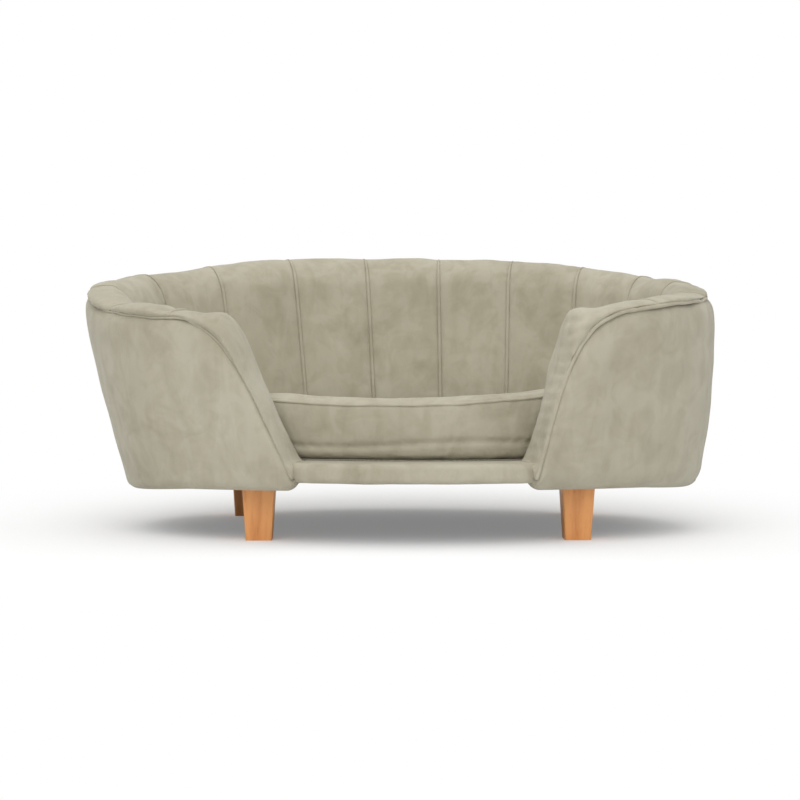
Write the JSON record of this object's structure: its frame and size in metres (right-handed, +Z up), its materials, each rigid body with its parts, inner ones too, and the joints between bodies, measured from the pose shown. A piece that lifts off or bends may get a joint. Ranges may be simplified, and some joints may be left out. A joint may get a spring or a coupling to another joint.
{
  "type": "dog sofa bed",
  "caption": "Small upholstered pet sofa: an oval tub with a channelled back and sloping arms, a loose piped seat cushion and tapered square wooden legs.",
  "frame": {"origin": "on the floor, under the middle of the object's box", "axes": "+X along the sofa to the right, seen from the front; +Y from the front to the back; +Z up"},
  "size_m": [0.7239, 0.4938, 0.317],
  "materials": {
    "velvet": "soft velvet",
    "plywood": "plain",
    "fibreboard": "plain",
    "deck_cloth": "woven",
    "beech": "satin lacquer",
    "zinc_steel": "zinc plated",
    "black_cloth": "non-woven",
    "zip_tape": "woven",
    "zip_metal": "nickel"
  },
  "bodies": {
    "tub": {"outer_cover": "velvet", "channel_01": "velvet", "channel_02": "velvet", "channel_03": "velvet", "channel_04": "velvet", "channel_05": "velvet", "channel_06": "velvet", "channel_07": "velvet", "channel_08": "velvet", "channel_09": "velvet", "channel_10": "velvet", "channel_11": "velvet", "channel_12": "velvet", "channel_13": "velvet", "channel_14": "velvet", "channel_15": "velvet", "rim_welt": "velvet", "front_rail_cover": "velvet", "base_panel": "plywood", "rim_rail": "plywood", "front_batten": "plywood", "post_01": "plywood", "post_02": "plywood", "post_03": "plywood", "post_04": "plywood", "post_05": "plywood", "post_06": "plywood", "outer_board": "fibreboard", "lining_board": "fibreboard", "seat_deck": "deck_cloth", "leg_front_left": "beech", "leg_front_right": "beech", "leg_rear_left": "beech", "leg_rear_right": "beech", "post_screws": "zinc_steel", "hanger_bolts": "zinc_steel", "leg_nuts": "zinc_steel", "dust_cover_staples": "zinc_steel", "dust_cover": "black_cloth"},
    "cushion": {"seat_cushion": "velvet", "cushion_welt": "velvet", "cushion_zip": "zip_tape"},
    "slider": {"zip_slider": "zip_metal", "zip_pull": "zip_metal"}
  },
  "joints": [
    {"name": "cushion_lift", "type": "slide", "parent": "tub", "child": "cushion", "axis": [0, 0, 1], "range_m": [0, 0.26]},
    {"name": "zip_travel", "type": "hinge", "parent": "cushion", "child": "slider", "pos_m": [0.0136, -0.2669, 0.1105], "axis": [0, 0, 1], "range_deg": [0, 45]}
  ]
}
